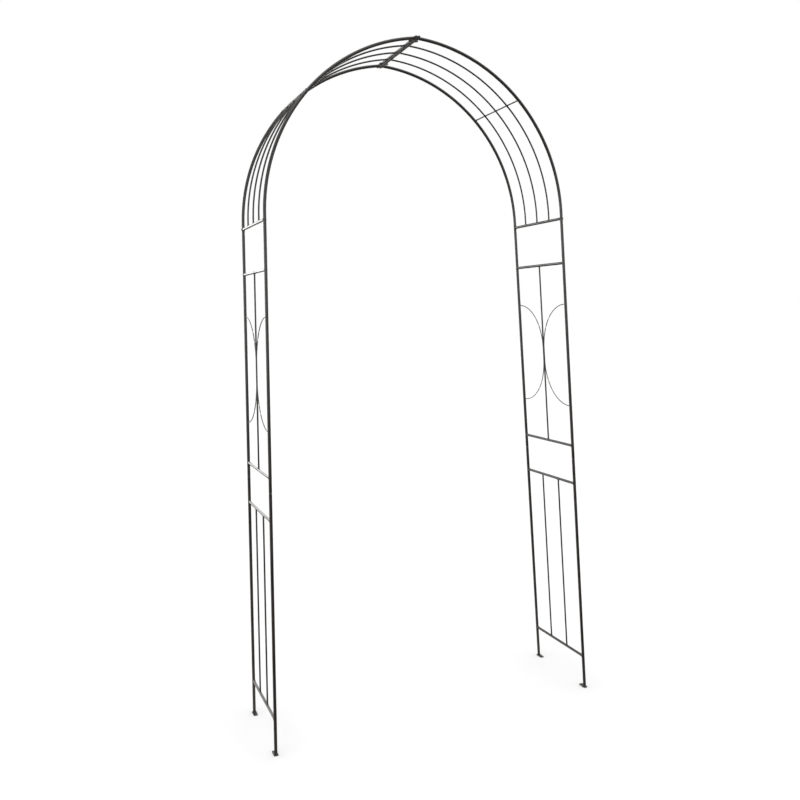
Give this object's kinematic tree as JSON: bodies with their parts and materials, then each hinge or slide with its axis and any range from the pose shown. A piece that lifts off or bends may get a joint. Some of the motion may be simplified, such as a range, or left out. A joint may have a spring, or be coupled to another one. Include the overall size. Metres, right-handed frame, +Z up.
{
  "type": "trellis arch",
  "caption": "Round-topped tubular garden arch with ladder and scroll panels, made in sections that plug together and bolt at the crown.",
  "frame": {"origin": "on the ground, at the middle of the four foot plates", "axes": "+X across the path from the left leg to the right leg, +Y along the path from front to rear, +Z up"},
  "size_m": [1.236, 0.384, 2.3904],
  "materials": {
    "paint": "satin dark brown-black paint over steel tube",
    "rod_paint": "satin dark brown-black paint over steel rod and wire",
    "zinc": "bright zinc plate",
    "plastic": "black moulded plastic"
  },
  "bodies": {
    "root": {"left_front_foot": "paint", "left_rear_foot": "paint", "right_front_foot": "paint", "right_rear_foot": "paint", "left_lower_front_post": "paint", "left_lower_rear_post": "paint", "left_lower_bottom_bar": "paint", "left_lower_top_bar": "paint", "left_lower_front_rod": "rod_paint", "left_lower_rear_rod": "rod_paint", "right_lower_front_post": "paint", "right_lower_rear_post": "paint", "right_lower_bottom_bar": "paint", "right_lower_top_bar": "paint", "right_lower_front_rod": "rod_paint", "right_lower_rear_rod": "rod_paint", "left_upper_front_post": "paint", "left_upper_rear_post": "paint", "left_upper_bottom_bar": "paint", "left_upper_top_bar": "paint", "left_upper_centre_rod": "rod_paint", "left_upper_front_scroll": "rod_paint", "left_upper_rear_scroll": "rod_paint", "right_upper_front_post": "paint", "right_upper_rear_post": "paint", "right_upper_bottom_bar": "paint", "right_upper_top_bar": "paint", "right_upper_centre_rod": "rod_paint", "right_upper_front_scroll": "rod_paint", "right_upper_rear_scroll": "rod_paint", "left_arch_front_hoop": "paint", "left_arch_rear_hoop": "paint", "left_arch_inner_front_hoop": "rod_paint", "left_arch_inner_centre_hoop": "rod_paint", "left_arch_inner_rear_hoop": "rod_paint", "left_arch_spring_bar": "paint", "left_arch_cross_rod": "rod_paint", "left_arch_crown_bar": "paint", "right_arch_front_hoop": "paint", "right_arch_rear_hoop": "paint", "right_arch_inner_front_hoop": "rod_paint", "right_arch_inner_centre_hoop": "rod_paint", "right_arch_inner_rear_hoop": "rod_paint", "right_arch_spring_bar": "paint", "right_arch_cross_rod": "rod_paint", "right_arch_crown_bar": "paint", "crown_bolts": "zinc", "crown_nuts": "zinc", "crown_saddle_washers": "zinc", "crown_end_plugs": "plastic", "spring_screws": "zinc"}
  },
  "joints": []
}
